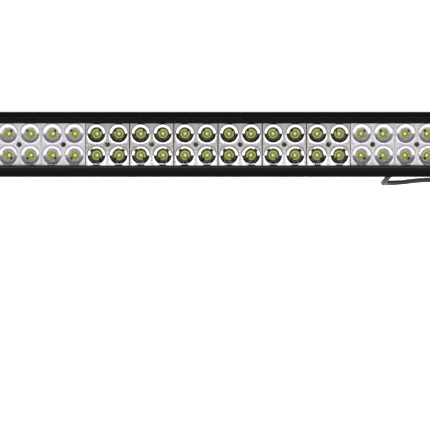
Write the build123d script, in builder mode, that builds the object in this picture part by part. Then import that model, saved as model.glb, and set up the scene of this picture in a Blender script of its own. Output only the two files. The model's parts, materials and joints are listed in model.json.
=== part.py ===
import os
from math import cos, radians, sin, sqrt, tan

from build123d import *

# A straight LED light bar for a vehicle. Millimetres, +Z up, X along the bar, the light leaves towards -Y.
# The origin is on the mounting surface, midway between the two feet, under the middle of the bar's depth.
# A "depth" is measured back from the front plane, a "height" up from the bar's mid-height.

# Overall shape
overall_depth = 81.7
half_depth = overall_depth / 2
mid_height = 51.5
housing_half_length = 272.0
housing_half_height = 39.0

# Housing section
wall_depth = 40.6
wall_groove_start = 18.0
wall_groove_end = 28.0
wall_groove_cut = 4.5
channel_half_height = 28.5
ledge_depth = 10.0
pocket_half_height = 31.9
web_front = 31.0
web_back = 36.4
fin_count = 12
fin_pitch = 6.18
fin_thickness = 1.9
fin_ellipse_depth = 11.7
fin_ellipse_reach = 69.0
snap_groove = (2.9, 4.3, 32.8)
edge_round = 1.2
end_port_depths = (13.5, 34.3)
end_port_height = 33.75
end_port_radius = 2.55

# Front window
lens_front = 6.0
lens_back = 9.0
lens_half_length = 271.6
lens_half_height = 31.5
retainer_front = 1.0
retainer_back = 5.9
retainer_half_height = 31.65
bevel_start_height = 28.1
bevel_end_height = 25.1

# Lamp modules: two rows, four lamps in each module
row_pitch = 26.0
column_pitch = 26.5
module_pitch = 2 * column_pitch
module_count = 10
flood_modules = (0, 1, 8, 9)
reflector_half_height = 28.0
reflector_gap = 0.1
reflector_plate = 1.4
cup_back = 28.4
cup_base_radius = 4.3
spot_radius = 11.1
flood_radius = 12.15
cup_wall = 0.9
well_radius = 3.1
boss_radius = 4.2
screw_seat_depth = 25.5

# Boards and what they carry
board_front = 29.1
board_back = 30.7
board_length = 105.6
board_half_height = 27.0
boards = 5
package_radius = 4.0
package_top = 27.8
phosphor_radius = 2.2
phosphor_thickness = 0.3
dome_radius = 2.9
m3_hole = 1.5
m3_shank = 1.45
m3_head = 2.75
m3_clearance = 1.7
board_screw_height = 20.0
driver_height = 9.5

# Ends
gasket_thickness = 1.0
cap_inner = housing_half_length + gasket_thickness
cap_thickness = 6.0
cap_outer = cap_inner + cap_thickness
cap_half_height = 39.5
boss_height = 5.0
cap_face = cap_outer + boss_height
pivot_depth = 31.0
pivot_boss_radius = 11.0
lock_radius = 21.0
lock_boss_radius = 7.5
thread_bottom = cap_inner + 1.2
vent_place = (16.0, -10.0)

# Brackets
face_gap = 0.05
bracket_thickness = 4.0
bracket_inner = cap_face + face_gap
bracket_outer = bracket_inner + bracket_thickness
tilt_limit = 45.0
fan_radius = 29.5
fan_half_angle = 59.0
hub_radius = 15.0
neck_half_width = 13.0
foot_half_width = 20.0
foot_end = 328.0
foot_slot_x = 308.0
foot_slot_length = 14.0
foot_slot_width = 8.5
bend_radius = 4.0
m8_radius = 4.0
m6_radius = 3.0
pivot_clearance = 0.06
slot_clearance = 0.3

# Cable gland and cord
gland_x = 249.0
gland_height = 21.6
gland_pocket = (238.0, 256.5, 12.2, 31.0)
gland_axis = (gland_x, gland_height)
gland_hole = 5.0
gland_thread = 4.95
gland_bore = 3.5
gland_flats = 14.0
seal_radius = 4.3
flange_start = 37.4
flange_end = 40.0
stub_end = 42.5
seal_end = 43.8
gland_end = 45.2
cord_diameter = 6.5
cord_radius = cord_diameter / 2
cord_inner_end = 33.0
lead_radius = 0.8
connector_length = 40.0
connector_width = 16.0
connector_height = 14.0

columns = [column_pitch * (i - module_count + 0.5) for i in range(2 * module_count)]
lamp_places = [(x, h) for x in columns for h in (row_pitch / 2, -row_pitch / 2)]
module_centres = [module_pitch * (i - (module_count - 1) / 2) for i in range(module_count)]
board_centres = [2 * module_pitch * (i - (boards - 1) / 2) for i in range(boards)]
board_screw_places = [(x, h) for x in board_centres for h in (board_screw_height, -board_screw_height)]


def across(x):
    """The plane of the bar's cross-section at x: its own axes are depth and height."""
    return Plane(origin=(x, -half_depth, mid_height), x_dir=(0, 1, 0), z_dir=(1, 0, 0))


def facing(depth):
    """A plane that faces the front at a depth: its own axes are x and height."""
    return Plane(origin=(0, depth - half_depth, mid_height), x_dir=(1, 0, 0), z_dir=(0, -1, 0))


def place(x, depth, height):
    """A point from its x, its depth and its height."""
    return (x, depth - half_depth, mid_height + height)


def save(piece, name):
    """Name a finished piece and write it."""
    piece.part.label = name
    export_step(piece.part, f"parts/{name}.step")


def layer(front, back):
    """Extrude the pending faces, drawn at the front depth, back to another depth."""
    return extrude(amount=front - back)


def fin_tip(height):
    """How far back a fin at this height reaches: the tips lie on an ellipse."""
    return fin_ellipse_depth + fin_ellipse_reach * sqrt(1 - (height / housing_half_height) ** 2)


os.makedirs("parts", exist_ok=True)

# ---------------------------------------------------------------- housing
with BuildPart() as housing:
    with BuildSketch(across(-housing_half_length)) as section:
        wall_thickness = housing_half_height - channel_half_height
        for side in (1, -1):
            with Locations((wall_depth / 2, side * (channel_half_height + wall_thickness / 2))):
                Rectangle(wall_depth, wall_thickness)
        with Locations(((web_front + web_back) / 2, 0)):
            Rectangle(web_back - web_front, 2 * channel_half_height + 1)
        for row in range(fin_count):
            fin_height = fin_pitch * (row - (fin_count - 1) / 2)
            tip = fin_tip(fin_height) - fin_thickness / 2
            with Locations(((web_back - 1 + tip) / 2, fin_height)):
                Rectangle(tip - web_back + 1, fin_thickness)
            with Locations((tip, fin_height)):
                Circle(fin_thickness / 2)
        for side in (1, -1):
            groove_middle = (wall_groove_start + wall_groove_end) / 2
            with Locations((groove_middle, side * (housing_half_height - wall_groove_cut / 2))):
                Rectangle(wall_groove_end - wall_groove_start, wall_groove_cut, mode=Mode.SUBTRACT)
            pocket_middle = (channel_half_height + pocket_half_height) / 2 - 0.5
            pocket_width = pocket_half_height - channel_half_height + 1
            with Locations((ledge_depth / 2, side * pocket_middle)):
                Rectangle(ledge_depth, pocket_width, mode=Mode.SUBTRACT)
            snap_start, snap_end, snap_height = snap_groove
            with Locations(((snap_start + snap_end) / 2, side * (snap_height - 1))):
                Rectangle(snap_end - snap_start, 2, mode=Mode.SUBTRACT)
            for port in end_port_depths:
                with Locations((port, side * end_port_height)):
                    Circle(end_port_radius, mode=Mode.SUBTRACT)
        outer_corners = section.vertices().filter_by(
            lambda v: abs(abs(v.Y) - housing_half_height) < 0.01 and (v.X < 0.01 or abs(v.X - wall_depth) < 0.01)
        )
        fillet(outer_corners, edge_round)
        groove_corners = section.vertices().filter_by(
            lambda v: abs(abs(v.Y) - housing_half_height) < 0.01
            and min(abs(v.X - wall_groove_start), abs(v.X - wall_groove_end)) < 0.01
        )
        fillet(groove_corners, edge_round / 2)
        lip_corners = section.vertices().filter_by(
            lambda v: abs(abs(v.Y) - pocket_half_height) < 0.01 and v.X < 0.01
        )
        fillet(lip_corners, 0.5)
    extrude(amount=2 * housing_half_length)
    # The fins are milled away round the cable gland.
    pocket_left, pocket_right, pocket_low, pocket_high = gland_pocket
    with BuildSketch(facing(web_back)):
        with Locations(((pocket_left + pocket_right) / 2, (pocket_low + pocket_high) / 2)):
            Rectangle(pocket_right - pocket_left, pocket_high - pocket_low)
    extrude(amount=web_back - overall_depth, mode=Mode.SUBTRACT)
    with BuildSketch(facing(web_front)):
        with Locations((gland_x, gland_height)):
            Circle(gland_hole)
    extrude(amount=web_front - web_back, mode=Mode.SUBTRACT)
    # Screw holes in the web for the boards and reflectors
    with BuildSketch(facing(web_front)):
        with Locations([(x, 0) for x in module_centres] + board_screw_places):
            Circle(m3_hole)
    extrude(amount=-4.5, mode=Mode.SUBTRACT)
save(housing, "housing")

# ---------------------------------------------------------------- front window
with BuildPart() as lens:
    with BuildSketch(facing(lens_front)):
        Rectangle(2 * lens_half_length, 2 * lens_half_height)
    layer(lens_front, lens_back)
    chamfer(lens.edges().filter_by(Axis.X).sort_by(Axis.Y)[:2], 0.4)
save(lens, "lens")

with BuildPart() as lens_gasket:
    with BuildSketch(facing(lens_back)):
        Rectangle(2 * lens_half_length - 1, 2 * lens_half_height - 0.4)
        Rectangle(2 * lens_half_length - 10, 2 * channel_half_height + 0.4, mode=Mode.SUBTRACT)
    layer(lens_back, ledge_depth)
save(lens_gasket, "lens_gasket")

with BuildPart() as lens_retainer_top:
    with BuildSketch(across(-lens_half_length)):
        rib_start = snap_groove[0] + 0.15
        rib_end = snap_groove[1] - 0.15
        rib_height = snap_groove[2] - 0.15
        with BuildLine():
            Polyline(
                (retainer_front, retainer_half_height),
                (retainer_front, bevel_start_height),
                (retainer_front + bevel_start_height - bevel_end_height, bevel_end_height),
                (retainer_back, bevel_end_height),
                (retainer_back, retainer_half_height),
                (rib_end, retainer_half_height),
                (rib_end, rib_height),
                (rib_start, rib_height),
                (rib_start, retainer_half_height),
                close=True,
            )
        make_face()
    extrude(amount=2 * lens_half_length)
save(lens_retainer_top, "lens_retainer_top")

with BuildPart() as lens_retainer_bottom:
    mirror(lens_retainer_top.part, about=Plane.XY.offset(mid_height))
save(lens_retainer_bottom, "lens_retainer_bottom")


# ---------------------------------------------------------------- reflectors
def cup_shell(mouth_radius):
    """One reflector cup on an axis along Y through x = 0 at mid-height, open at both ends."""
    middle = (cup_back + ledge_depth) / 2
    middle_radius = sqrt((cup_base_radius**2 + mouth_radius**2) / 2)
    with BuildPart() as shell:
        with BuildSketch(across(0)):
            with BuildLine():
                ThreePointArc((cup_back, cup_base_radius), (middle, middle_radius), (ledge_depth, mouth_radius))
                Line((ledge_depth, mouth_radius), (ledge_depth, mouth_radius + cup_wall))
                ThreePointArc(
                    (ledge_depth, mouth_radius + cup_wall),
                    (middle, middle_radius + cup_wall),
                    (cup_back, cup_base_radius + cup_wall),
                )
                Line((cup_back, cup_base_radius + cup_wall), (cup_back, cup_base_radius))
            make_face()
        revolve(axis=Axis((0, 0, mid_height), (0, 1, 0)))
    return shell.part


def reflector(centre, mouth_radius, name):
    """A moulded square with four cups and, between them, a well for its screw."""
    cup = cup_shell(mouth_radius)
    cups = [(centre + sx * column_pitch / 2, sz * row_pitch / 2) for sx in (-1, 1) for sz in (-1, 1)]
    with BuildPart() as module:
        with BuildSketch(facing(ledge_depth)):
            with Locations((centre, 0)):
                Rectangle(module_pitch - reflector_gap, 2 * reflector_half_height)
            with Locations(cups):
                Circle(mouth_radius + cup_wall / 2, mode=Mode.SUBTRACT)
        layer(ledge_depth, ledge_depth + reflector_plate)
        with Locations([(x, 0, height) for x, height in cups]):
            add(cup)
        with BuildSketch(facing(ledge_depth)):
            with Locations((centre, 0)):
                Circle(boss_radius)
        layer(ledge_depth, board_front)
        with BuildSketch(facing(ledge_depth)):
            with Locations((centre, 0)):
                Circle(well_radius)
        extrude(amount=ledge_depth - screw_seat_depth, mode=Mode.SUBTRACT)
        with BuildSketch(facing(screw_seat_depth)):
            with Locations((centre, 0)):
                Circle(m3_clearance)
        extrude(amount=screw_seat_depth - board_front, mode=Mode.SUBTRACT)
    save(module, name)


flood_number = 0
spot_number = 0
for number, centre in enumerate(module_centres):
    if number in flood_modules:
        flood_number += 1
        reflector(centre, flood_radius, f"reflector_flood_{flood_number}")
    else:
        spot_number += 1
        reflector(centre, spot_radius, f"reflector_spot_{spot_number}")


def m3_screws(places, seat, tip):
    """Pan-head screws along Y, each with a cross recess."""
    with BuildPart() as screws:
        with BuildSketch(facing(seat - 2)):
            with Locations(places):
                Circle(m3_head)
                Rectangle(2.6, 0.7, mode=Mode.SUBTRACT)
                Rectangle(0.7, 2.6, mode=Mode.SUBTRACT)
        layer(seat - 2, seat - 1)
        with BuildSketch(facing(seat - 1)):
            with Locations(places):
                Circle(m3_head)
        layer(seat - 1, seat)
        with BuildSketch(facing(seat)):
            with Locations(places):
                Circle(m3_shank)
        layer(seat, tip)
    return screws


screw_tip = web_front + 4.3
save(m3_screws([(x, 0) for x in module_centres], screw_seat_depth, screw_tip), "reflector_screws")

# ---------------------------------------------------------------- boards and lamps
lead_notch_width = 9.0
lead_notch_low = 17.3
for number, centre in enumerate(board_centres):
    with BuildPart() as led_board:
        with BuildSketch(facing(board_front)):
            with Locations((centre, 0)):
                RectangleRounded(board_length, 2 * board_half_height, 1.0)
            holes = [(centre - column_pitch, 0), (centre + column_pitch, 0)]
            holes += [(centre, board_screw_height), (centre, -board_screw_height)]
            with Locations(holes):
                Circle(m3_clearance, mode=Mode.SUBTRACT)
            if number == boards - 1:
                with Locations((gland_x, lead_notch_low + 6)):
                    Rectangle(lead_notch_width, 12, mode=Mode.SUBTRACT)
        layer(board_front, board_back)
    save(led_board, f"led_board_{number + 1}")

with BuildPart() as thermal_pads:
    with BuildSketch(facing(board_back)):
        for centre in board_centres:
            for side in (1, -1):
                with Locations((centre, side * row_pitch / 2)):
                    Rectangle(board_length - 12, 8)
    layer(board_back, web_front)
save(thermal_pads, "thermal_pads")

save(m3_screws(board_screw_places, board_front, screw_tip), "board_screws")

with BuildPart() as led_packages:
    with BuildSketch(facing(package_top)):
        with Locations(lamp_places):
            Circle(package_radius)
    layer(package_top, board_front)
    with BuildSketch(facing(package_top)):
        with Locations(lamp_places):
            Circle(phosphor_radius)
    extrude(amount=-phosphor_thickness, mode=Mode.SUBTRACT)
save(led_packages, "led_packages")

with BuildPart() as led_phosphors:
    with BuildSketch(facing(package_top)):
        with Locations(lamp_places):
            Circle(phosphor_radius)
    layer(package_top, package_top + phosphor_thickness)
save(led_phosphors, "led_phosphors")

with BuildPart() as led_domes:
    with Locations([place(x, package_top, h) for x, h in lamp_places]):
        Sphere(
            dome_radius,
            arc_size1=0,
            arc_size2=90,
            rotation=(90, 0, 0),
            align=(Align.CENTER, Align.CENTER, Align.MIN),
        )
save(led_domes, "led_domes")

with BuildPart() as driver_inductors:
    with BuildSketch(facing(board_front - 4)):
        with Locations([(x, 0) for x in board_centres]):
            RectangleRounded(7, 7, 1)
    layer(board_front - 4, board_front)
save(driver_inductors, "driver_inductors")

with BuildPart() as driver_capacitors:
    with BuildSketch(facing(board_front - 5)):
        with Locations([(x, driver_height) for x in board_centres]):
            Circle(3.15)
    layer(board_front - 5, board_front)
save(driver_capacitors, "driver_capacitors")

with BuildPart() as driver_chips:
    with BuildSketch(facing(board_front - 1.5)):
        with Locations([(x, -driver_height) for x in board_centres]):
            Rectangle(5, 4)
    layer(board_front - 1.5, board_front)
save(driver_chips, "driver_chips")

with BuildPart() as board_links:
    with BuildSketch(facing(board_front - 1.8)):
        with Locations([(x + module_pitch, 0) for x in board_centres[:-1]]):
            Rectangle(12, 5)
    layer(board_front - 1.8, board_front)
save(board_links, "board_links")

# ---------------------------------------------------------------- cable gland
with BuildPart() as gland_seal_ring:
    with BuildSketch(facing(web_back)):
        with Locations(gland_axis):
            Circle(gland_flats / 2 - 0.1)
            Circle(gland_hole + 0.1, mode=Mode.SUBTRACT)
    layer(web_back, flange_start)
save(gland_seal_ring, "gland_seal_ring")

with BuildPart() as gland_body:
    with BuildSketch(facing(web_front + 0.2)):
        with Locations(gland_axis):
            Circle(gland_thread)
    layer(web_front + 0.2, flange_start)
    with BuildSketch(facing(flange_start)):
        with Locations(gland_axis):
            RegularPolygon(gland_flats / 2, 6, major_radius=False, rotation=30)
    layer(flange_start, flange_end)
    with BuildSketch(facing(flange_end)):
        with Locations(gland_axis):
            Circle(gland_hole)
    layer(flange_end, stub_end)
    with BuildSketch(facing(web_front)):
        with Locations(gland_axis):
            Circle(gland_bore)
    extrude(amount=web_front - stub_end, mode=Mode.SUBTRACT)
    with BuildSketch(facing(flange_end + 0.2)):
        with Locations(gland_axis):
            Circle(seal_radius + 0.05)
    extrude(amount=flange_end + 0.2 - stub_end, mode=Mode.SUBTRACT)
save(gland_body, "gland_body")

with BuildPart() as gland_seal:
    with BuildSketch(facing(flange_end + 0.2)):
        with Locations(gland_axis):
            Circle(seal_radius)
            Circle(cord_radius - 0.05, mode=Mode.SUBTRACT)
    layer(flange_end + 0.2, seal_end)
save(gland_seal, "gland_seal")

with BuildPart() as gland_nut:
    with BuildSketch(facing(flange_end + 0.2)):
        with Locations(gland_axis):
            RegularPolygon(6.7, 12, major_radius=False)
    layer(flange_end + 0.2, gland_end)
    chamfer(gland_nut.faces().sort_by(Axis.Y)[-1].edges(), 0.9)
    with BuildSketch(facing(flange_end + 0.2)):
        with Locations(gland_axis):
            Circle(gland_hole + 0.05)
    extrude(amount=flange_end + 0.2 - seal_end, mode=Mode.SUBTRACT)
    with BuildSketch(facing(seal_end)):
        with Locations(gland_axis):
            Circle(gland_bore)
    extrude(amount=seal_end - gland_end, mode=Mode.SUBTRACT)
save(gland_nut, "gland_nut")

# ---------------------------------------------------------------- power cord
# Out of the gland, past the fins, down towards the middle of the bar, then loose on the surface behind it.
cord_route = [
    place(249, cord_inner_end, gland_height),
    place(249, 51, gland_height),
    place(248.5, 71, 21),
    place(240, 92.5, 9),
    place(227.5, 102.5, -17.5),
    place(214, 109.5, -37.5),
    place(205, 130, -48.2),
    place(209, 157, -48.2),
    place(230, 173.5, -48.2),
    place(257, 171, -44.5),
    place(284, 171, -44.5),
]


def bend_radii(route):
    """The largest radius that each corner of a route has room for."""
    runs = [Vector(*b) - Vector(*a) for a, b in zip(route, route[1:])]
    radii = []
    for before, after in zip(runs, runs[1:]):
        half_turn = radians(before.get_angle(after) / 2)
        radii.append(0.45 * min(before.length, after.length) / tan(half_turn))
    return radii


cord_radii = bend_radii(cord_route)
print("cord bend radii, mm:", [round(r, 1) for r in cord_radii])
with BuildPart() as power_cord:
    with BuildLine() as cord_line:
        FilletPolyline(*cord_route, radius=cord_radii)
    with BuildSketch(Plane(origin=cord_line.line @ 0, z_dir=cord_line.line % 0)):
        Circle(cord_radius)
    sweep()
print("cord length, mm:", round(sum(edge.length for edge in cord_line.edges()), 1))
save(power_cord, "power_cord")

for name, side in (("lead_positive", -1), ("lead_negative", 1)):
    start_x = gland_x + side * 1.6
    end_x = gland_x + side * 9.5
    lead_route = [
        place(start_x, cord_inner_end, gland_height),
        place(start_x, 26.4, gland_height),
        place(end_x, 26.4, gland_height + 2),
        place(end_x, board_front, gland_height + 2),
    ]
    with BuildPart() as lead:
        with BuildLine() as lead_line:
            FilletPolyline(*lead_route, radius=1.3)
        with BuildSketch(Plane(origin=lead_line.line @ 0, z_dir=lead_line.line % 0)):
            Circle(lead_radius)
        sweep()
    save(lead, name)

# ---------------------------------------------------------------- connector on the cord's end
connector_start = 284.0
connector_axis = (171.0, -44.5)
boot_length = 8.0
nose_length = 14.0
nose_start = connector_start + connector_length - nose_length
contact_spread = 3.2

with BuildPart() as connector_body:
    with BuildSketch(across(connector_start)):
        with Locations(connector_axis):
            RectangleRounded(connector_width - 3, connector_height - 3, 3)
    extrude(amount=boot_length)
    with BuildSketch(across(connector_start + boot_length)):
        with Locations(connector_axis):
            RectangleRounded(connector_width, connector_height, 3)
    extrude(amount=nose_start - connector_start - boot_length)
    with BuildSketch(across(nose_start)):
        with Locations(connector_axis):
            RectangleRounded(connector_width - 4, connector_height - 4, 2)
            Rectangle(8.2, 4.2, mode=Mode.SUBTRACT)
    extrude(amount=nose_length)
save(connector_body, "connector_body")

with BuildPart() as connector_seal:
    with BuildSketch(across(nose_start)):
        with Locations(connector_axis):
            RectangleRounded(connector_width - 1.6, connector_height - 1.6, 3)
            RectangleRounded(connector_width - 3.9, connector_height - 3.9, 2, mode=Mode.SUBTRACT)
    extrude(amount=3)
save(connector_seal, "connector_seal")

with BuildPart() as connector_lock:
    with BuildSketch(across(nose_start)):
        with Locations(connector_axis):
            Rectangle(8.1, 4.1)
        depth, height = connector_axis
        with Locations((depth - contact_spread / 2 - 0.4, height), (depth + contact_spread / 2 + 0.4, height)):
            Circle(1.15, mode=Mode.SUBTRACT)
    extrude(amount=nose_length - 0.5)
save(connector_lock, "connector_lock")

with BuildPart() as connector_contacts:
    with BuildSketch(across(nose_start)):
        with Locations((depth - contact_spread / 2 - 0.4, height), (depth + contact_spread / 2 + 0.4, height)):
            Circle(1.1)
            Circle(0.75, mode=Mode.SUBTRACT)
    extrude(amount=nose_length - 2)
save(connector_contacts, "connector_contacts")

# ---------------------------------------------------------------- end caps
cap_arc_start = 36.66
cap_reach = overall_depth - fin_ellipse_depth
cap_arc_height = 40.2
cap_arc_end = (
    fin_ellipse_depth + cap_reach * cos(radians(cap_arc_start)),
    cap_arc_height * sin(radians(cap_arc_start)),
)
end_screw_places = [(d, side * end_port_height) for d in end_port_depths for side in (1, -1)]

with BuildPart() as end_gasket_right:
    with BuildSketch(across(housing_half_length)):
        with Locations((20.6, 0)):
            RectangleRounded(39.6, 77, 1.5)
        with Locations((20.5, 0)):
            Rectangle(19, 54, mode=Mode.SUBTRACT)
        with Locations(end_screw_places):
            Circle(end_port_radius, mode=Mode.SUBTRACT)
    extrude(amount=gasket_thickness)
save(end_gasket_right, "end_gasket_right")

with BuildPart() as end_gasket_left:
    mirror(end_gasket_right.part, about=Plane.YZ)
save(end_gasket_left, "end_gasket_left")


def end_cap(vented):
    """A plate with the bar's outline, raised round the pivot and the lock bolt, for the right end."""
    with BuildPart() as cap:
        with BuildSketch(across(cap_inner)) as outline:
            with BuildLine():
                arc_depth, arc_height = cap_arc_end
                Polyline(
                    (arc_depth, -arc_height),
                    (wall_depth + 0.4, -cap_half_height),
                    (0, -cap_half_height),
                    (0, cap_half_height),
                    (wall_depth + 0.4, cap_half_height),
                    (arc_depth, arc_height),
                )
                EllipticalCenterArc(
                    (fin_ellipse_depth, 0), cap_reach, cap_arc_height, -cap_arc_start, arc_size=2 * cap_arc_start
                )
            make_face()
            fillet(outline.vertices().filter_by(lambda v: v.X < 0.01), 1.5)
        extrude(amount=cap_thickness)
        chamfer(cap.faces().sort_by(Axis.X)[-1].edges(), 1.0)
        with BuildSketch(across(cap_outer)):
            with Locations((pivot_depth, 0)):
                Circle(pivot_boss_radius)
            with Locations((pivot_depth, lock_radius)):
                Circle(lock_boss_radius)
        extrude(amount=boss_height)
        with BuildSketch(across(thread_bottom)):
            with Locations((pivot_depth, 0)):
                Circle(m8_radius + pivot_clearance)
            with Locations((pivot_depth, lock_radius)):
                Circle(m6_radius + pivot_clearance)
        extrude(amount=cap_face - thread_bottom, mode=Mode.SUBTRACT)
        with BuildSketch(across(cap_inner)):
            with Locations(end_screw_places):
                Circle(end_port_radius + 0.1)
            if vented:
                with Locations(vent_place):
                    Circle(4.05)
        extrude(amount=cap_thickness, mode=Mode.SUBTRACT)
    return cap.part


with BuildPart() as end_cap_right:
    add(end_cap(vented=False))
save(end_cap_right, "end_cap_right")

with BuildPart() as end_cap_left:
    mirror(end_cap(vented=True), about=Plane.YZ)
save(end_cap_left, "end_cap_left")

with BuildPart() as breather_vent:
    with BuildSketch(across(-cap_outer - 3)):
        with Locations(vent_place):
            Circle(6)
            Circle(1.0, mode=Mode.SUBTRACT)
    extrude(amount=3)
    with BuildSketch(across(-cap_outer)):
        with Locations(vent_place):
            Circle(4)
            Circle(1.0, mode=Mode.SUBTRACT)
    extrude(amount=cap_thickness)
save(breather_vent, "breather_vent")

with BuildPart() as end_cap_screws_right:
    head_end = cap_outer + 2.75
    with BuildSketch(across(cap_outer)):
        with Locations(end_screw_places):
            Circle(4.75)
    extrude(amount=2.75)
    chamfer(end_cap_screws_right.faces().sort_by(Axis.X)[-4:].edges(), 1.2)
    with BuildSketch(across(head_end - 1.6)):
        with Locations(end_screw_places):
            RegularPolygon(1.5, 6, major_radius=False)
    extrude(amount=1.6, mode=Mode.SUBTRACT)
    with BuildSketch(across(cap_outer - 16)):
        with Locations(end_screw_places):
            Circle(end_port_radius - 0.05)
    extrude(amount=16)
save(end_cap_screws_right, "end_cap_screws_right")

with BuildPart() as end_cap_screws_left:
    mirror(end_cap_screws_right.part, about=Plane.YZ)
save(end_cap_screws_left, "end_cap_screws_left")

# ---------------------------------------------------------------- brackets
slot_arc = CenterArc((pivot_depth, 0), lock_radius, 90 - tilt_limit, 2 * tilt_limit)
fan_edge = 60 * tan(radians(fan_half_angle))

with BuildPart() as bracket_right:
    with BuildSketch(across(bracket_inner)) as plate:
        with Locations((pivot_depth, 0)):
            Circle(fan_radius)
        with BuildLine():
            Polyline(
                (pivot_depth, -1),
                (pivot_depth + fan_edge, 60),
                (pivot_depth - fan_edge, 60),
                close=True,
            )
        make_face(mode=Mode.INTERSECT)
        with Locations((pivot_depth, 0)):
            Circle(hub_radius)
        with BuildLine():
            Polyline(
                (pivot_depth - neck_half_width, 0),
                (pivot_depth + neck_half_width, 0),
                (pivot_depth + foot_half_width, -mid_height + 12),
                (pivot_depth + foot_half_width, -mid_height),
                (pivot_depth - foot_half_width, -mid_height),
                (pivot_depth - foot_half_width, -mid_height + 12),
                close=True,
            )
        make_face()
        fan_corners = plate.vertices().filter_by(lambda v: v.Y > hub_radius * 0.9 and abs(v.X - pivot_depth) > 20)
        fillet(fan_corners, 3.5)
    extrude(amount=bracket_thickness)
    with BuildSketch(Plane.XY):
        with Locations(((bracket_inner + foot_end) / 2, pivot_depth - half_depth)):
            Rectangle(foot_end - bracket_inner, 2 * foot_half_width)
    extrude(amount=bracket_thickness)
    along_bar = bracket_right.edges().filter_by(Axis.Y)
    inside_bend = along_bar.filter_by(
        lambda e: abs(e.center().X - bracket_outer) < 0.01 and abs(e.center().Z - bracket_thickness) < 0.01
    )
    fillet(inside_bend, bend_radius)
    along_bar = bracket_right.edges().filter_by(Axis.Y)
    outside_bend = along_bar.filter_by(
        lambda e: abs(e.center().X - bracket_inner) < 0.01 and abs(e.center().Z) < 0.01
    )
    fillet(outside_bend, bend_radius + bracket_thickness)
    foot_corners = bracket_right.edges().filter_by(Axis.Z).filter_by(lambda e: e.center().X > foot_end - 0.01)
    fillet(foot_corners, 6)
    with BuildSketch(across(bracket_inner)):
        with Locations((pivot_depth, 0)):
            Circle(m8_radius + pivot_clearance)
        SlotArc(slot_arc, 2 * (m6_radius + slot_clearance))
    extrude(amount=bracket_thickness, mode=Mode.SUBTRACT)
    with BuildSketch(Plane.XY):
        with Locations((foot_slot_x, pivot_depth - half_depth)):
            SlotOverall(foot_slot_length, foot_slot_width)
    extrude(amount=bracket_thickness, mode=Mode.SUBTRACT)
save(bracket_right, "bracket_right")

with BuildPart() as bracket_left:
    mirror(bracket_right.part, about=Plane.YZ)
save(bracket_left, "bracket_left")

# ---------------------------------------------------------------- pivot and lock bolts, one of each at each end
washer_start = bracket_outer + face_gap


def bolt_pair(name, centre, radius, washer_thickness, spring_thickness, head_height, head_across_flats):
    """A hex bolt with a flat and a spring washer, mirrored to both ends, each kind in its own file."""
    washer_end = washer_start + washer_thickness
    spring_end = washer_end + spring_thickness
    with BuildPart() as bolts:
        with BuildSketch(across(thread_bottom + 0.4)):
            with Locations(centre):
                Circle(radius)
        extrude(amount=spring_end - thread_bottom - 0.4)
        with BuildSketch(across(spring_end)):
            with Locations(centre):
                RegularPolygon(head_across_flats / 2, 6, major_radius=False)
        extrude(amount=head_height)
        chamfer(bolts.faces().sort_by(Axis.X)[-1].edges(), 0.6)
        mirror(about=Plane.YZ)
    save(bolts, f"{name}_bolts")
    with BuildPart() as washers:
        with BuildSketch(across(washer_start)):
            with Locations(centre):
                Circle(2 * radius)
                Circle(radius + 0.2, mode=Mode.SUBTRACT)
        extrude(amount=washer_thickness)
        mirror(about=Plane.YZ)
    save(washers, f"{name}_washers")
    with BuildPart() as springs:
        with BuildSketch(across(washer_end)):
            with Locations(centre):
                Circle(1.75 * radius)
                Circle(radius + 0.15, mode=Mode.SUBTRACT)
            with Locations((centre[0], centre[1] + 1.4 * radius)):
                Rectangle(0.8, 1.4 * radius, mode=Mode.SUBTRACT)
        extrude(amount=spring_thickness)
        mirror(about=Plane.YZ)
    save(springs, f"{name}_spring_washers")


bolt_pair("pivot", (pivot_depth, 0), m8_radius, 1.6, 2.0, 5.3, 13)
bolt_pair("lock", (pivot_depth, lock_radius), m6_radius, 1.2, 1.6, 4.0, 10)
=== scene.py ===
import json
import math

import bmesh
import bpy
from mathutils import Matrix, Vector


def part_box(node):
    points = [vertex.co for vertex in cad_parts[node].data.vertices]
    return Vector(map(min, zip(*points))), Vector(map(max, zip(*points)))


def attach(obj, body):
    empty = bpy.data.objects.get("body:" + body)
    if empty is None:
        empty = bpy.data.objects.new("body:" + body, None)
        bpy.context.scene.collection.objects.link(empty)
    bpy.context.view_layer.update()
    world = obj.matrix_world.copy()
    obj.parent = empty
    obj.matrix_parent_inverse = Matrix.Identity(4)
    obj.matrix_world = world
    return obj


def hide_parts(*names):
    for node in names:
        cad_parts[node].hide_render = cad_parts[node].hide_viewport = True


# The looks of a straight LED light bar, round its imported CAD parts.
# Metres, +Z up, X along the bar, the light leaves towards -Y.

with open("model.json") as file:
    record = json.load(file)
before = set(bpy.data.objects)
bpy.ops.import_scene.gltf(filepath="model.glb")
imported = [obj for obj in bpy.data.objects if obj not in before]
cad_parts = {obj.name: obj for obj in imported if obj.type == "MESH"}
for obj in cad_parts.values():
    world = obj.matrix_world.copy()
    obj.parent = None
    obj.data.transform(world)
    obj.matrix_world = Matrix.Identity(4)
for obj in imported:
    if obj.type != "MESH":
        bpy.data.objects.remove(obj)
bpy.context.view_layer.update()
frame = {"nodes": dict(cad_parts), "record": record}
nodes = frame["nodes"]

MM = 0.001
housing_low, housing_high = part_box("housing")
front_y = housing_low.y
middle_z = (housing_low.z + housing_high.z) / 2


# ---------------------------------------------------------------- camera
VIEW_WIDTH = 0.514           # metres across the picture at the bar's front
BAR_RIGHT_OF_MIDDLE = 0.0036  # where the bar's centre stands in the picture, in metres at its front
BAR_ABOVE_MIDDLE = 0.0843
CAMERA_DISTANCE = 3.0
SENSOR_WIDTH = 36.0


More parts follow.
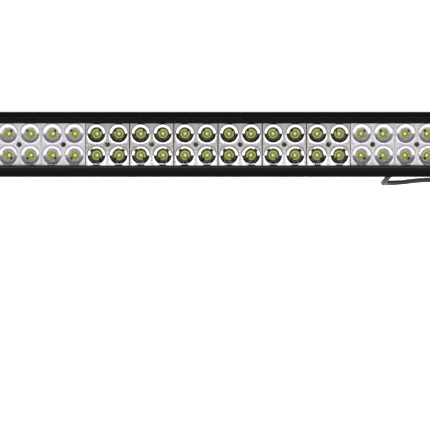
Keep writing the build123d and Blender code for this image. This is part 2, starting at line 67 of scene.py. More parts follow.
def add_camera():
    """A long lens straight in front of the bar, tipped down so that the bar stands high in the picture."""
    data = bpy.data.cameras.new("camera")
    data.sensor_width = SENSOR_WIDTH
    data.lens = SENSOR_WIDTH * CAMERA_DISTANCE / VIEW_WIDTH
    data.clip_end = 100
    camera = bpy.data.objects.new("camera", data)
    bpy.context.scene.collection.objects.link(camera)
    camera.location = (-BAR_RIGHT_OF_MIDDLE, front_y - CAMERA_DISTANCE, middle_z)
    camera.rotation_euler = (math.pi / 2 - math.atan2(BAR_ABOVE_MIDDLE, CAMERA_DISTANCE), 0, 0)
    bpy.context.scene.camera = camera


add_camera()


# ---------------------------------------------------------------- materials
def principled(name, colour, roughness, metallic=0.0, specular=0.5, alpha=1.0):
    """A new material and its Principled shader, with its constants set."""
    material = bpy.data.materials.new(name)
    material.use_nodes = True
    shader = material.node_tree.nodes["Principled BSDF"]
    shader.inputs["Base Color"].default_value = (*colour, 1)
    shader.inputs["Roughness"].default_value = roughness
    shader.inputs["Metallic"].default_value = metallic
    shader.inputs["Specular IOR Level"].default_value = specular
    shader.inputs["Alpha"].default_value = alpha
    return material, shader


def grain(tree, size, stretch=(1, 1, 1), detail=3.0):
    """Noise with features of about this size in metres, longer along the stretched axes."""
    coordinates = tree.nodes.new("ShaderNodeTexCoord")
    mapping = tree.nodes.new("ShaderNodeMapping")
    mapping.inputs["Scale"].default_value = [1 / (size * factor) for factor in stretch]
    noise = tree.nodes.new("ShaderNodeTexNoise")
    noise.inputs["Scale"].default_value = 1.0
    noise.inputs["Detail"].default_value = detail
    tree.links.new(coordinates.outputs["Object"], mapping.inputs["Vector"])
    tree.links.new(mapping.outputs["Vector"], noise.inputs["Vector"])
    return noise.outputs["Fac"]


def spread(tree, value, low, high):
    """A 0 to 1 value, drawn out between two others. Noise keeps to the middle, so its middle half is used."""
    stretch = tree.nodes.new("ShaderNodeMapRange")
    stretch.inputs["From Min"].default_value = 0.3
    stretch.inputs["From Max"].default_value = 0.7
    stretch.inputs["To Min"].default_value = low
    stretch.inputs["To Max"].default_value = high
    tree.links.new(value, stretch.inputs["Value"])
    return stretch.outputs["Result"]


def blend_colours(tree, factor, first, second):
    """A mix of two colours; either may be an output of another node."""
    mix = tree.nodes.new("ShaderNodeMix")
    mix.data_type = "RGBA"
    tree.links.new(factor, mix.inputs["Factor"])
    for socket, colour in ((mix.inputs[6], first), (mix.inputs[7], second)):
        if isinstance(colour, tuple):
            socket.default_value = (*colour, 1)
        else:
            tree.links.new(colour, socket)
    return mix.outputs[2]


def wear_and_highlight_edges(tree, radius, low, high):
    """0 on faces and 1 along the edges, whose lighter colour is part wear and part painted highlight, from
    how far a rounded normal leans from the true one.
    """
    rounded = tree.nodes.new("ShaderNodeBevel")
    rounded.samples = 4
    rounded.inputs["Radius"].default_value = radius
    geometry = tree.nodes.new("ShaderNodeNewGeometry")
    lean = tree.nodes.new("ShaderNodeVectorMath")
    lean.operation = "DOT_PRODUCT"
    tree.links.new(rounded.outputs["Normal"], lean.inputs[0])
    tree.links.new(geometry.outputs["Normal"], lean.inputs[1])
    edge = tree.nodes.new("ShaderNodeMapRange")
    edge.inputs["From Min"].default_value = high
    edge.inputs["From Max"].default_value = low
    tree.links.new(lean.outputs["Value"], edge.inputs["Value"])
    return edge.outputs["Result"], rounded.outputs["Normal"]


BROAD_GRAIN = 40         # how much coarser the grain of the gloss is than the grain of the colour
WEAR_AND_HIGHLIGHT_LEAN = (0.8, 0.98)  # the lean of a rounded normal where an edge has all its wear and painted highlight, and where it has none


def finish_of(
    name, dark, light, roughness, size, metallic=0.0, specular=0.5, stretch=(1, 1, 1),
    relief=0.01 * MM, edge=None, edge_radius=0.25 * MM,
):
    """A surface whose colour, gloss and height vary with one grain, with an optional lighter edge that is
    part wear and part painted highlight.
    """
    material, shader = principled(name, light, roughness[0], metallic, specular)
    tree = material.node_tree
    fine = grain(tree, size, stretch)
    broad = grain(tree, BROAD_GRAIN * size, stretch, detail=1.0)
    colour = blend_colours(tree, spread(tree, fine, 0, 1), dark, light)
    tree.links.new(spread(tree, broad, *roughness), shader.inputs["Roughness"])
    bump = tree.nodes.new("ShaderNodeBump")
    bump.inputs["Distance"].default_value = relief
    tree.links.new(fine, bump.inputs["Height"])
    if edge:
        # The lighter edge colour is wear, and also a painted highlight along the edges.
        wear_and_highlight, rounded = wear_and_highlight_edges(tree, edge_radius, *WEAR_AND_HIGHLIGHT_LEAN)
        colour = blend_colours(tree, wear_and_highlight, colour, edge)
        tree.links.new(rounded, bump.inputs["Normal"])
    tree.links.new(colour, shader.inputs["Base Color"])
    tree.links.new(bump.outputs["Normal"], shader.inputs["Normal"])
    return material


def clear_plastic(name, tint, alpha, roughness):
    """A clear window or dome: mostly see-through, with its gloss and a faint ripple."""
    material, shader = principled(name, tint, roughness, alpha=alpha)
    tree = material.node_tree
    bump = tree.nodes.new("ShaderNodeBump")
    bump.inputs["Distance"].default_value = 0.01 * MM
    tree.links.new(grain(tree, 12 * MM, detail=1.0), bump.inputs["Height"])
    tree.links.new(bump.outputs["Normal"], shader.inputs["Normal"])
    return material


def phosphor(name, dark, light, painted_glow):
    """A lamp's coating with a painted glow: it shines a little by itself, so that it stays bright whatever
    lights it.
    """
    material = finish_of(name, dark, light, (0.4, 0.55), 0.7 * MM)
    shader = material.node_tree.nodes["Principled BSDF"]
    shader.inputs["Emission Color"].default_value = (*light, 1)
    shader.inputs["Emission Strength"].default_value = painted_glow
    return material


ALONG_X = (60, 1, 1)
slot_materials = {
    # The lighter edge colours of the black finishes below are painted highlights along their edges, as well
    # as wear.
    "black_aluminium": finish_of(
        "powder_coat_extrusion", (0.001, 0.001, 0.001), (0.0025, 0.0025, 0.0027), (0.42, 0.52), 0.5 * MM,
        specular=0.08, stretch=(6, 1, 1), edge=(0.16, 0.16, 0.165), edge_radius=0.6 * MM,
    ),
    "black_cast": finish_of(
        "powder_coat_casting", (0.002, 0.002, 0.002), (0.005, 0.005, 0.0053), (0.38, 0.5), 0.7 * MM,
        specular=0.12, relief=0.03 * MM, edge=(0.05, 0.05, 0.053), edge_radius=0.5 * MM,
    ),
    "black_trim": finish_of(
        "anodised_trim", (0.001, 0.001, 0.001), (0.0025, 0.0025, 0.0025), (0.2, 0.28), 0.15 * MM,
        specular=0.12, stretch=ALONG_X, relief=0.002 * MM, edge=(0.04, 0.04, 0.042), edge_radius=0.2 * MM,
    ),
    "black_rubber": finish_of(
        "moulded_rubber", (0.006, 0.006, 0.006), (0.012, 0.012, 0.012), (0.7, 0.85), 0.3 * MM, specular=0.2,
    ),
    "clear_lens": clear_plastic("clear_window", (0.1, 0.1, 0.1), 0.05, 0.03),
    "clear_silicone": finish_of(
        "dark_silicone", (0.01, 0.01, 0.01), (0.02, 0.02, 0.02), (0.5, 0.6), 0.4 * MM, specular=0.3,
    ),
    "reflector_metallised": finish_of(
        "metallised_back", (0.5, 0.5, 0.49), (0.6, 0.6, 0.59), (0.2, 0.3), 1 * MM, metallic=1.0,
    ),
    "dark_screws": finish_of(
        "phosphated_steel", (0.05, 0.035, 0.025), (0.16, 0.13, 0.1), (0.35, 0.5), 0.3 * MM, metallic=1.0,
        edge=(0.3, 0.27, 0.24), edge_radius=0.15 * MM,
    ),
    "steel_screws": finish_of(
        "zinc_plate", (0.42, 0.42, 0.44), (0.6, 0.6, 0.62), (0.25, 0.4), 0.3 * MM, metallic=1.0,
    ),
    "led_white": finish_of(
        "white_ceramic", (0.72, 0.72, 0.62), (0.86, 0.86, 0.78), (0.4, 0.5), 0.3 * MM,
    ),
    "dome_silicone": clear_plastic("dome_silicone", (0.6, 0.6, 0.12), 0.12, 0.04),
    "board_white": finish_of(
        "solder_mask", (0.7, 0.7, 0.68), (0.8, 0.8, 0.78), (0.35, 0.45), 0.6 * MM,
    ),
    "thermal_pad": finish_of(
        "thermal_pad", (0.4, 0.45, 0.48), (0.5, 0.55, 0.58), (0.8, 0.9), 0.5 * MM,
    ),
    "dark_component": finish_of(
        "moulded_epoxy", (0.015, 0.015, 0.015), (0.03, 0.03, 0.03), (0.45, 0.6), 0.3 * MM,
    ),
    "capacitor_can": finish_of(
        "drawn_can", (0.5, 0.5, 0.52), (0.65, 0.65, 0.67), (0.25, 0.35), 0.4 * MM, metallic=1.0,
    ),
    "connector_white": finish_of(
        "white_nylon", (0.68, 0.67, 0.62), (0.78, 0.77, 0.72), (0.4, 0.5), 0.4 * MM,
    ),
    "black_nylon": finish_of(
        "black_nylon", (0.008, 0.008, 0.008), (0.016, 0.016, 0.016), (0.42, 0.55), 0.25 * MM,
        specular=0.35, relief=0.015 * MM, edge=(0.03, 0.03, 0.03),
    ),
    "lead_red": finish_of(
        "red_insulation", (0.35, 0.01, 0.01), (0.5, 0.02, 0.02), (0.3, 0.4), 0.5 * MM,
    ),
    "lead_black": finish_of(
        "black_insulation", (0.008, 0.008, 0.008), (0.02, 0.02, 0.02), (0.3, 0.4), 0.5 * MM,
    ),
    "connector_shell": finish_of(
        "connector_shell", (0.01, 0.01, 0.011), (0.02, 0.02, 0.021), (0.45, 0.6), 0.2 * MM,
        specular=0.35, relief=0.015 * MM, edge=(0.05, 0.05, 0.05),
    ),
    "connector_wedge": finish_of(
        "connector_wedge", (0.55, 0.16, 0.02), (0.75, 0.25, 0.03), (0.4, 0.5), 0.4 * MM,
    ),
    "connector_gasket": finish_of(
        "connector_gasket", (0.45, 0.14, 0.03), (0.6, 0.2, 0.05), (0.55, 0.7), 0.4 * MM,
    ),
    "plated_contact": finish_of(
        "plated_contact", (0.6, 0.45, 0.2), (0.8, 0.65, 0.35), (0.2, 0.3), 0.3 * MM, metallic=1.0,
    ),
    "stainless": finish_of(
        "stainless", (0.42, 0.42, 0.43), (0.58, 0.58, 0.59), (0.22, 0.36), 0.2 * MM, metallic=1.0,
        relief=0.004 * MM, edge=(0.7, 0.7, 0.71), edge_radius=0.2 * MM,
    ),
    "bracket_steel": finish_of(
        "powder_coat_bracket", (0.0025, 0.0025, 0.0025), (0.006, 0.006, 0.0063), (0.38, 0.5), 0.6 * MM,
        specular=0.15, relief=0.03 * MM, edge=(0.05, 0.05, 0.052), edge_radius=0.4 * MM,
    ),
    # The phosphor's glow is painted light.
    "phosphor": phosphor("phosphor", (0.36, 0.38, 0.07), (0.7, 0.7, 0.2), 0.45),
    "cord_rubber": finish_of(
        "cord_jacket", (0.008, 0.008, 0.009), (0.014, 0.014, 0.015), (0.32, 0.45), 0.4 * MM,
        specular=0.4,
    ),
}
# What a piece wears instead of its slot's own material
# A darker phosphor ring round the base of each cap: painted shade.
painted_shade_ring = phosphor("painted_shade_ring", (0.06, 0.07, 0.01), (0.13, 0.14, 0.02), 0.1)
# A bright cream cap that glows: a painted highlight on each lamp's dome.
painted_highlight_cap = phosphor("painted_highlight_cap", (0.8, 0.76, 0.4), (0.95, 0.9, 0.62), 0.7)
joint_brown = finish_of(
    "joint_brown", (0.03, 0.02, 0.016), (0.06, 0.045, 0.038), (0.6, 0.7), 0.5 * MM, specular=0.2,
)
mirror_materials = {
    "spot": finish_of(
        "spot_mirror", (0.77, 0.77, 0.73), (0.9, 0.9, 0.86), (0.05, 0.1), 3 * MM, metallic=1.0,
        relief=0.02 * MM,
    ),
    "flood": finish_of(
        "flood_mirror", (0.74, 0.73, 0.77), (0.88, 0.87, 0.9), (0.17, 0.27), 1.2 * MM, metallic=0.6,
        relief=0.05 * MM,
    ),
}
for subpart in frame["record"]["subparts"]:
    node = nodes[subpart["node"]]
    node.data.materials.clear()
    node.data.materials.append(slot_materials[subpart["material_slot"]])


# ---------------------------------------------------------------- power cord
CORD_DIAMETER = 6.5 * MM
cord_points = [
    (0.249, -0.00785, 0.0731),
    (0.249, 0.01015, 0.0731),
    (0.2485, 0.03015, 0.0725),
    (0.240, 0.05165, 0.0605),
    (0.2275, 0.06165, 0.034),
    (0.214, 0.06865, 0.014),
    (0.205, 0.08915, 0.0033),
    (0.209, 0.11615, 0.0033),
    (0.230, 0.13265, 0.0033),
    (0.257, 0.13015, 0.007),
    (0.284, 0.13015, 0.007),
]


def add_cord():
    """The cord as one smooth spline, out of the gland and down to its connector."""
    curve = bpy.data.curves.new("power_cord_jacket", "CURVE")
    curve.dimensions = "3D"
    curve.bevel_depth = CORD_DIAMETER / 2
    curve.bevel_resolution = 8
    curve.use_fill_caps = True
    spline = curve.splines.new("NURBS")
    spline.points.add(len(cord_points) - 1)
    for point, place in zip(spline.points, cord_points):
        point.co = (*place, 1)
    spline.order_u = 3
    spline.use_endpoint_u = True
    spline.resolution_u = 24
    cord = bpy.data.objects.new("power_cord_jacket", curve)
    bpy.context.scene.collection.objects.link(cord)
    curve.materials.append(slot_materials["cord_rubber"])
    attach(cord, "lamp")
    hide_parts("power_cord")


add_cord()


# ---------------------------------------------------------------- pieces of the lamp
def add_piece(name, mesh, slot, material=None):
    """A bmesh as an object of the lamp, in its slot's material or one of its own."""
    data = bpy.data.meshes.new(name)
    mesh.to_mesh(data)
    mesh.free()
    piece = bpy.data.objects.new(name, data)
    bpy.context.scene.collection.objects.link(piece)
    data.materials.append(material or slot_materials[slot])
    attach(piece, "lamp")
    return piece


def join_loops(mesh, first, second):
    """Faces between two closed loops of as many points each."""
    for i in range(len(first)):
        j = (i + 1) % len(first)
        mesh.faces.new((first[i], first[j], second[j], second[i]))


# ---------------------------------------------------------------- reflectors
COLUMN_PITCH = 26.5 * MM
ROW_PITCH = 26.0 * MM
CUP_SEGMENTS = 72
CUP_RINGS = 22
RING_CROWDING = 1.6      # above 1, a wall's rings lie closer together towards its mouth
WALL_TOP = 0.35 * MM     # how far behind its rim a cup's wall ends
EVEN_WIDENING = 0.12     # the share of a wall's widening that is even all the way up
RIM_WIDTH = 0.75 * MM
RIM_ROOM = 0.85          # the most of the room outside a mouth that its rim takes
FIELD_DROP = 0.18 * MM   # how far behind the rims the flat face round them lies
FIELD_SHARES = (0.12, 0.55)
# Across a rim: the share of its width, and how far behind its front it lies there
RIM_SECTION = ((0.22, 0.08 * MM), (0.5, 0), (0.78, 0.2 * FIELD_DROP), (1, 0.6 * FIELD_DROP))
SKIRT_DEPTH = 7 * MM
WELL_RADIUS = 3.3 * MM
WELL_LIP_DEPTH = 0.25 * MM
# The size of each loop of a screw well, as a share of the one before it
WELL_LIP, WELL_TAPER, WELL_FLOOR = 0.94, 0.97, 0.55
END_TRIM = 0.05 * MM     # how much shorter a module is than its CAD piece, above and below
CLOSE = 0.01 * MM        # a point this near a module's outside is on it
SHARP_ANGLE = math.radians(38)
field_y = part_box("reflector_spot_1")[0].y
rim_y = field_y + 0.05 * MM
cup_back_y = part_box("led_packages")[0].y + 0.6 * MM
screw_seat_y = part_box("reflector_screws")[0].y + 2 * MM

# flare is how sharply a cup opens out near its mouth: its wall follows depth to this power.
styles = {
    "spot": {"mouth": 10.4 * MM, "base": 5.8 * MM, "inset": 0.7 * MM, "flare": 12},
    "flood": {"mouth": 11.0 * MM, "base": 5.0 * MM, "inset": 0.2 * MM, "flare": 9},
}


def edge_distance(angle, centre, half_width, half_height):
    """How far the edge of a quarter module is from its cup's centre, in one direction."""
    reach_u, reach_v = math.cos(angle), math.sin(angle)
    hits = []
    if abs(reach_u) > 1e-9:
        hits.append(((half_width if reach_u > 0 else 0) - centre[0]) / reach_u)
    if abs(reach_v) > 1e-9:
        hits.append(((half_height if reach_v > 0 else 0) - centre[1]) / reach_v)
    along = centre[0] * reach_u + centre[1] * reach_v
    inside = along**2 - (centre[0] ** 2 + centre[1] ** 2 - WELL_RADIUS**2)
    if inside > 0 and along < 0:
        hits.append(-along - math.sqrt(inside))
    return min(hits)


def spoke_angles(centre, half_width, half_height):
    """Even directions round a cup, and the exact ones of the quarter's corners."""
    corners = [(half_width, half_height), (0, half_height), (half_width, 0)]
    corners += [(WELL_RADIUS, 0), (0, WELL_RADIUS)]
    exact = [math.atan2(v - centre[1], u - centre[0]) % math.tau for u, v in corners]
    step = math.tau / CUP_SEGMENTS
    even = [i * step for i in range(CUP_SEGMENTS)]
    kept = [a for a in even if min(abs((a - e + math.pi) % math.tau - math.pi) for e in exact) > 0.3 * step]
    return sorted(kept + exact)


def cup_wall(style, share):
    """Radius and Y at a share of the way up a cup's wall."""
    mouth, base = style["mouth"], style["base"]
    widening = EVEN_WIDENING * share + (1 - EVEN_WIDENING) * share ** style["flare"]
    return base + (mouth - base) * widening, cup_back_y + (rim_y + WALL_TOP - cup_back_y) * share


def spoke_profile(style, limit):
    """Radius and Y from a cup's base, up its wall, over its rim and out to the quarter's edge."""
    mouth = style["mouth"]
    shares = [1 - (1 - i / CUP_RINGS) ** RING_CROWDING for i in range(CUP_RINGS + 1)]
    room = limit - mouth
    rim = min(RIM_WIDTH, RIM_ROOM * room)
    profile = [cup_wall(style, share) for share in shares]
    profile += [(mouth + share * rim, rim_y + drop) for share, drop in RIM_SECTION]
    profile += [(mouth + rim + share * (room - rim), rim_y + FIELD_DROP) for share in FIELD_SHARES]
    profile.append((limit, rim_y + FIELD_DROP))
    return profile


def add_quarter(mesh, style, centre_x, sign_u, sign_v, half_width, half_height):
    """One cup and the quarter of the module's face round it."""
    cup = (COLUMN_PITCH / 2, ROW_PITCH / 2)
    columns = []
    for angle in spoke_angles(cup, half_width, half_height):
        limit = edge_distance(angle, cup, half_width, half_height)
        column = []
        for radius, y in spoke_profile(style, limit):
            u = cup[0] + radius * math.cos(angle)
            v = cup[1] + radius * math.sin(angle)
            column.append(mesh.verts.new((centre_x + sign_u * u, y, middle_z + sign_v * v)))
        columns.append(column)
    flipped = sign_u * sign_v < 0
    for first, second in zip(columns, columns[1:] + columns[:1]):
        for i in range(len(first) - 1):
            corners = [first[i], second[i], second[i + 1], first[i + 1]]
            mesh.faces.new(corners if flipped else corners[::-1])


def push_edges(mesh, edges, move):
    """Extrude a loop of edges and place each new point with move; the new loop's edges come back."""
    made = bmesh.ops.extrude_edge_only(mesh, edges=edges)["geom"]
    for vertex in made:
        if isinstance(vertex, bmesh.types.BMVert):
            vertex.co = move(vertex.co)
    return [edge for edge in made if isinstance(edge, bmesh.types.BMEdge) and edge.is_boundary]


def add_reflector(node, kind):
    """A moulded, mirror-coated square with four cups and a screw well, in place of a CAD reflector."""
    style = styles[kind]
    low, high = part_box(node)
    centre_x = (low.x + high.x) / 2
    half_width = COLUMN_PITCH - style["inset"]
    half_height = (high.z - low.z) / 2 - END_TRIM
    mesh = bmesh.new()
    for sign_u in (-1, 1):
        for sign_v in (-1, 1):
            add_quarter(mesh, style, centre_x, sign_u, sign_v, half_width, half_height)
    bmesh.ops.remove_doubles(mesh, verts=mesh.verts, dist=0.003 * MM)
    bmesh.ops.dissolve_degenerate(mesh, edges=mesh.edges, dist=0.002 * MM)
    bmesh.ops.recalc_face_normals(mesh, faces=mesh.faces)

    def on_outside(vertex):
        from_side = abs(abs(vertex.co.x - centre_x) - half_width)
        from_end = abs(abs(vertex.co.z - middle_z) - half_height)
        return min(from_side, from_end) < CLOSE

    def round_well(vertex):
        return math.hypot(vertex.co.x - centre_x, vertex.co.z - middle_z) < 1.1 * WELL_RADIUS

    border = [edge for edge in mesh.edges if edge.is_boundary]
    outer = [edge for edge in border if all(on_outside(v) for v in edge.verts)]
    well = [edge for edge in border if all(round_well(v) for v in edge.verts)]
    push_edges(mesh, outer, lambda co: Vector((co.x, co.y + SKIRT_DEPTH, co.z)))

    def shrink(co, factor, y):
        return Vector((centre_x + (co.x - centre_x) * factor, y, middle_z + (co.z - middle_z) * factor))

    lip = push_edges(mesh, well, lambda co: shrink(co, WELL_LIP, co.y + WELL_LIP_DEPTH))
    floor = push_edges(mesh, lip, lambda co: shrink(co, WELL_TAPER, screw_seat_y))
    push_edges(mesh, floor, lambda co: shrink(co, WELL_FLOOR, screw_seat_y))
    bmesh.ops.recalc_face_normals(mesh, faces=mesh.faces)
    for face in mesh.faces:
        face.smooth = True
    for edge in mesh.edges:
        if len(edge.link_faces) == 2 and edge.calc_face_angle(0) > SHARP_ANGLE:
            edge.smooth = False
    piece = add_piece(node + "_mirror", mesh, "reflector_metallised", mirror_materials[kind])
    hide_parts(node)


for name in sorted(nodes):
    if name.startswith("reflector_spot"):
        add_reflector(name, "spot")
    if name.startswith("reflector_flood"):
        add_reflector(name, "flood")


# ---------------------------------------------------------------- lamps
def add_rings(name, places, loop, segments, slot):
    """One mesh of equal rings on axes along Y: loop is radius and Y round the ring's section."""
    mesh = bmesh.new()
    for x, z in places:
        columns = []
        for i in range(segments):
            turn = math.tau * i / segments
            u, v = math.cos(turn), math.sin(turn)
            columns.append([mesh.verts.new((x + r * u, y, z + r * v)) for r, y in loop])
        for first, second in zip(columns, columns[1:] + columns[:1]):
            join_loops(mesh, first, second)
    bmesh.ops.recalc_face_normals(mesh, faces=mesh.faces)
    for face in mesh.faces:
        face.smooth = True
    return add_piece(name, mesh, slot)


def add_turned(name, places, profile, segments, slot, material=None):
    """One mesh of equal turned pieces on axes along Y: profile is radius and Y, from the centre outwards."""
    mesh = bmesh.new()
    for x, z in places:
        tip = mesh.verts.new((x, profile[0][1], z))
        rings = []
        for radius, y in profile[1:]:
            ring = []
            for i in range(segments):
                turn = math.tau * i / segments
                ring.append(mesh.verts.new((x + radius * math.cos(turn), y, z + radius * math.sin(turn))))
            rings.append(ring)
        for i in range(segments):
            following = (i + 1) % segments
            mesh.faces.new((tip, rings[0][i], rings[0][following]))
            for inner, outer in zip(rings, rings[1:]):
                mesh.faces.new((inner[i], outer[i], outer[following], inner[following]))
        mesh.faces.new(rings[-1][::-1])
    bmesh.ops.recalc_face_normals(mesh, faces=mesh.faces)
    for face in mesh.faces:
        face.smooth = len(face.verts) < segments
    return add_piece(name, mesh, slot, material)


def cap_profile(radius, height, base_y, rings=7):
    """A rounded cap that stands forward of base_y."""
    profile = []
    for i in range(rings + 1):
        turn = math.pi / 2 * i / rings
        profile.append((radius * math.sin(turn), base_y - height * math.cos(turn)))
    return profile


COLUMNS = 20
PHOSPHOR_RADIUS = 2.75 * MM
PHOSPHOR_HEIGHT = 1.5 * MM
COATING_RADIUS = {"spot": 5.5 * MM, "flood": 4.8 * MM}
COATING_HEIGHT = 0.25 * MM
# The darker ring round each cap is painted shade.
SHADE_RING_RADIUS = 3.6 * MM
SHADE_RING_HEIGHT = 0.08 * MM
HIGHLIGHT_RADIUS = 1.3 * MM
HIGHLIGHT_HEIGHT = 0.35 * MM
HIGHLIGHT_FORWARD = 1.3 * MM   # how far in front of the coating a painted highlight cap starts
PIN_RADIUS = 1.6 * MM
PIN_HEIGHT = 1.0 * MM
PIN_DEPTH = 4.5 * MM     # how far behind the reflectors' faces a pin stands
PIN_OFFSET = {"spot": 4.0 * MM, "flood": 3.5 * MM}
CAP_SEGMENTS, HIGHLIGHT_SEGMENTS, PIN_SEGMENTS, DARK_BAND_SEGMENTS = 28, 20, 14, 48
DARK_BAND_LOW, DARK_BAND_HIGH = 0.7, 0.895  # the shares of a spot cup's wall that its black band of painted dark reflection covers
DARK_BAND_RINGS = 6
DARK_BAND_GAP = 0.02 * MM
DARK_BAND_THICKNESS = 0.2 * MM
PATCH_LOW, PATCH_HIGH = 0.86, 0.985     # and the shares that a lower cup's black patch of painted dark reflection covers
PATCH_RINGS = 5
PATCH_STEPS = 8
PATCH_GAP = 0.06 * MM
PATCH_THICKNESS = 0.35 * MM
PATCH_ANGLE = math.radians(48)         # above the bar's length
PATCH_SPREAD = math.radians(14)        # to each side of that
STRIP_DROP = 0.15 * MM
# Across a joint strip and back from its front, in millimetres
STRIP_SECTION = ((-0.6, 0.6), (-0.6, 0.15), (-0.35, 0), (0.35, 0), (0.6, 0.15), (0.6, 0.6))
lamp_columns = [COLUMN_PITCH * (i - (COLUMNS - 1) / 2) for i in range(COLUMNS)]
lamp_rows = [middle_z + ROW_PITCH / 2, middle_z - ROW_PITCH / 2]
package_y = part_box("led_packages")[0].y


def places_in(kind):
    """The lamp places in the modules with this kind of cup."""
    spans = [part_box(name) for name in sorted(nodes) if name.startswith("reflector_" + kind)]
    columns = [x for x in lamp_columns if any(low.x < x < high.x for low, high in spans)]
    return [(x, z) for x in columns for z in lamp_rows]


lamp_places = {kind: places_in(kind) for kind in styles}


def add_phosphors():
    """A rounded cap of phosphor on each lamp, inside its clear dome, and the thin coating round its base;
    then a darker ring of painted shade round each cap, and a small cream cap of painted highlight on its
    front.
    """
    foot_y = package_y - COATING_HEIGHT
    for kind, coating in COATING_RADIUS.items():
        profile = cap_profile(PHOSPHOR_RADIUS, PHOSPHOR_HEIGHT, foot_y)
        profile += [(coating, foot_y), (coating, package_y)]
        caps = add_turned(
            f"led_phosphor_caps_{kind}", lamp_places[kind], profile, CAP_SEGMENTS, "phosphor",
        )
        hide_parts("led_phosphors")
    places = lamp_places["spot"] + lamp_places["flood"]
    shade_ring_top = foot_y - SHADE_RING_HEIGHT
    shade_ring = [(0, shade_ring_top), (SHADE_RING_RADIUS, shade_ring_top), (SHADE_RING_RADIUS, foot_y)]
    add_turned("led_painted_shade_rings", places, shade_ring, CAP_SEGMENTS, "phosphor", painted_shade_ring)
    # A cream cap of painted highlight on each lamp's front.
    tip = cap_profile(HIGHLIGHT_RADIUS, HIGHLIGHT_HEIGHT, foot_y - HIGHLIGHT_FORWARD, 4)
    add_turned("led_painted_highlights", places, tip, HIGHLIGHT_SEGMENTS, "phosphor", painted_highlight_cap)


def add_pins():
    """A small black pin in each cup, on the side of its module's middle and away from the other row."""
    places = []
    for kind, offset in PIN_OFFSET.items():
        for x, z in lamp_places[kind]:
            inwards = 1 if lamp_columns.index(x) % 2 == 0 else -1
            outwards = 1 if z > middle_z else -1
            places.append((x + inwards * offset, z + outwards * offset))
    pin = cap_profile(PIN_RADIUS, PIN_HEIGHT, field_y + PIN_DEPTH, 4)
    add_turned("locating_pins", places, pin, PIN_SEGMENTS, "black_nylon")


def add_dark_bands():
    """A black band in each spot cup, against its wall just behind where it opens out: a painted dark
    reflection.
    """
    span = DARK_BAND_HIGH - DARK_BAND_LOW
    shares = [DARK_BAND_LOW + span * i / DARK_BAND_RINGS for i in range(DARK_BAND_RINGS + 1)]
    outer = [cup_wall(styles["spot"], share) for share in shares]
    loop = [(radius - DARK_BAND_GAP, y) for radius, y in outer]
    loop += [(radius - DARK_BAND_THICKNESS, y) for radius, y in reversed(outer)]
    add_rings("painted_reflection_bands", lamp_places["spot"], loop, DARK_BAND_SEGMENTS, "black_nylon")


def add_dark_patches():
    """A black patch in each lower spot cup, up the wall on the side away from its module's middle: a painted
    dark reflection.
    """
    shares = [PATCH_LOW + (PATCH_HIGH - PATCH_LOW) * i / PATCH_RINGS for i in range(PATCH_RINGS + 1)]
    back = [cup_wall(styles["spot"], share) for share in shares]
    loop = [(radius, y - PATCH_GAP) for radius, y in back]
    loop += [(radius, y - PATCH_THICKNESS) for radius, y in reversed(back)]
    mesh = bmesh.new()
    for x, z in lamp_places["spot"]:
        if z > middle_z:
            continue
        outwards = -1 if lamp_columns.index(x) % 2 == 0 else 1
        columns = []
        for i in range(PATCH_STEPS + 1):
            turn = PATCH_ANGLE + PATCH_SPREAD * (2 * i / PATCH_STEPS - 1)
            u, v = outwards * math.cos(turn), math.sin(turn)
            columns.append([mesh.verts.new((x + r * u, y, z + r * v)) for r, y in loop])
        for first, second in zip(columns, columns[1:]):
            join_loops(mesh, first, second)
        mesh.faces.new(columns[0])
        mesh.faces.new(columns[-1][::-1])
    bmesh.ops.recalc_face_normals(mesh, faces=mesh.faces)
    add_piece("painted_reflection_patches", mesh, "black_nylon")


def add_joint_strips():
    """A dark strip in the gap on each side of a spot module, a little behind the reflectors' faces."""
    edges = set()
    for name in sorted(nodes):
        if name.startswith("reflector_spot"):
            low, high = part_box(name)
            centre = (low.x + high.x) / 2
            edges |= {round(centre - COLUMN_PITCH, 5), round(centre + COLUMN_PITCH, 5)}
    low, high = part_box("reflector_spot_1")
    strip_y = rim_y + FIELD_DROP + STRIP_DROP
    mesh = bmesh.new()
    for x in sorted(edges):
        bottom, top = (
            [mesh.verts.new((x + u * MM, strip_y + v * MM, z)) for u, v in STRIP_SECTION]
            for z in (low.z, high.z)
        )
        join_loops(mesh, bottom, top)
        mesh.faces.new(bottom)
        mesh.faces.new(top[::-1])
    bmesh.ops.recalc_face_normals(mesh, faces=mesh.faces)
    add_piece("module_joint_strips", mesh, "clear_silicone", joint_brown)


add_phosphors()
add_pins()
add_dark_bands()
add_dark_patches()
add_joint_strips()


# ---------------------------------------------------------------- studio
FLOOR_WIDTH = 14
FLOOR_GLOW = 0.85
SEEN_WHITE = 1.0         # the world's strength as the camera sees it
LIGHT_AROUND = 0.006     # and as a light
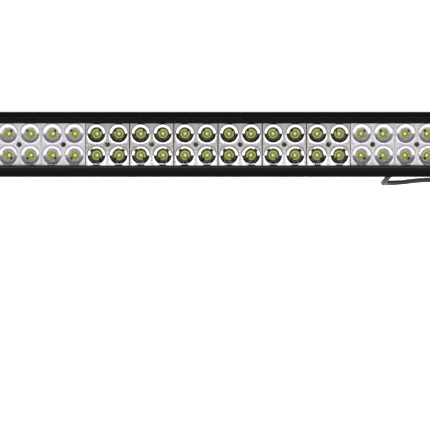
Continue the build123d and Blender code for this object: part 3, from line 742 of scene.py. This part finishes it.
# Each soft light: its place, its width and height in metres, and its power in watts.
softboxes = {
    "softbox_top": ((0, -0.02, 2.0), (2.6, 0.9), 58),
    "softbox_front": ((0, -3.6, 0.45), (2.0, 0.9), 2.95),
    "softbox_rear": ((0, 3.6, 1.1), (2.4, 1.0), 110),
}


def add_floor():
    """A plain pale floor that the camera sees as white, with a soft contact shadow."""
    bpy.ops.mesh.primitive_plane_add(size=FLOOR_WIDTH, location=(0, 0, 0))
    floor = bpy.context.active_object
    floor.name = "floor"
    material, shader = principled("floor", (0.9, 0.9, 0.9), 0.9, specular=0.1)
    shader.inputs["Emission Color"].default_value = (1, 1, 1, 1)
    shader.inputs["Emission Strength"].default_value = FLOOR_GLOW
    floor.data.materials.append(material)


def add_softbox(name, place, size, power):
    """A soft rectangular light that faces the middle of the bar."""
    data = bpy.data.lights.new(name, "AREA")
    data.shape = "RECTANGLE"
    data.size, data.size_y = size
    data.energy = power
    light = bpy.data.objects.new(name, data)
    light.location = place
    towards_bar = Vector((0, 0, middle_z)) - Vector(place)
    light.rotation_euler = towards_bar.to_track_quat("-Z", "Y").to_euler()
    bpy.context.scene.collection.objects.link(light)


def add_world():
    """White behind the object, and an even soft light from all round it."""
    world = bpy.data.worlds.new("studio")
    bpy.context.scene.world = world
    world.use_nodes = True
    tree = world.node_tree
    tree.nodes.clear()
    seen = tree.nodes.new("ShaderNodeBackground")
    seen.inputs["Strength"].default_value = SEEN_WHITE
    seen.inputs["Color"].default_value = (1, 1, 1, 1)
    around = tree.nodes.new("ShaderNodeBackground")
    around.inputs["Strength"].default_value = LIGHT_AROUND
    around.inputs["Color"].default_value = (1, 1, 1, 1)
    path = tree.nodes.new("ShaderNodeLightPath")
    mix = tree.nodes.new("ShaderNodeMixShader")
    output = tree.nodes.new("ShaderNodeOutputWorld")
    tree.links.new(path.outputs["Is Camera Ray"], mix.inputs["Fac"])
    tree.links.new(around.outputs["Background"], mix.inputs[1])
    tree.links.new(seen.outputs["Background"], mix.inputs[2])
    tree.links.new(mix.outputs["Shader"], output.inputs["Surface"])


add_floor()
add_world()
for name, (place, size, power) in softboxes.items():
    add_softbox(name, place, size, power)
bpy.context.scene.view_settings.view_transform = "Standard"
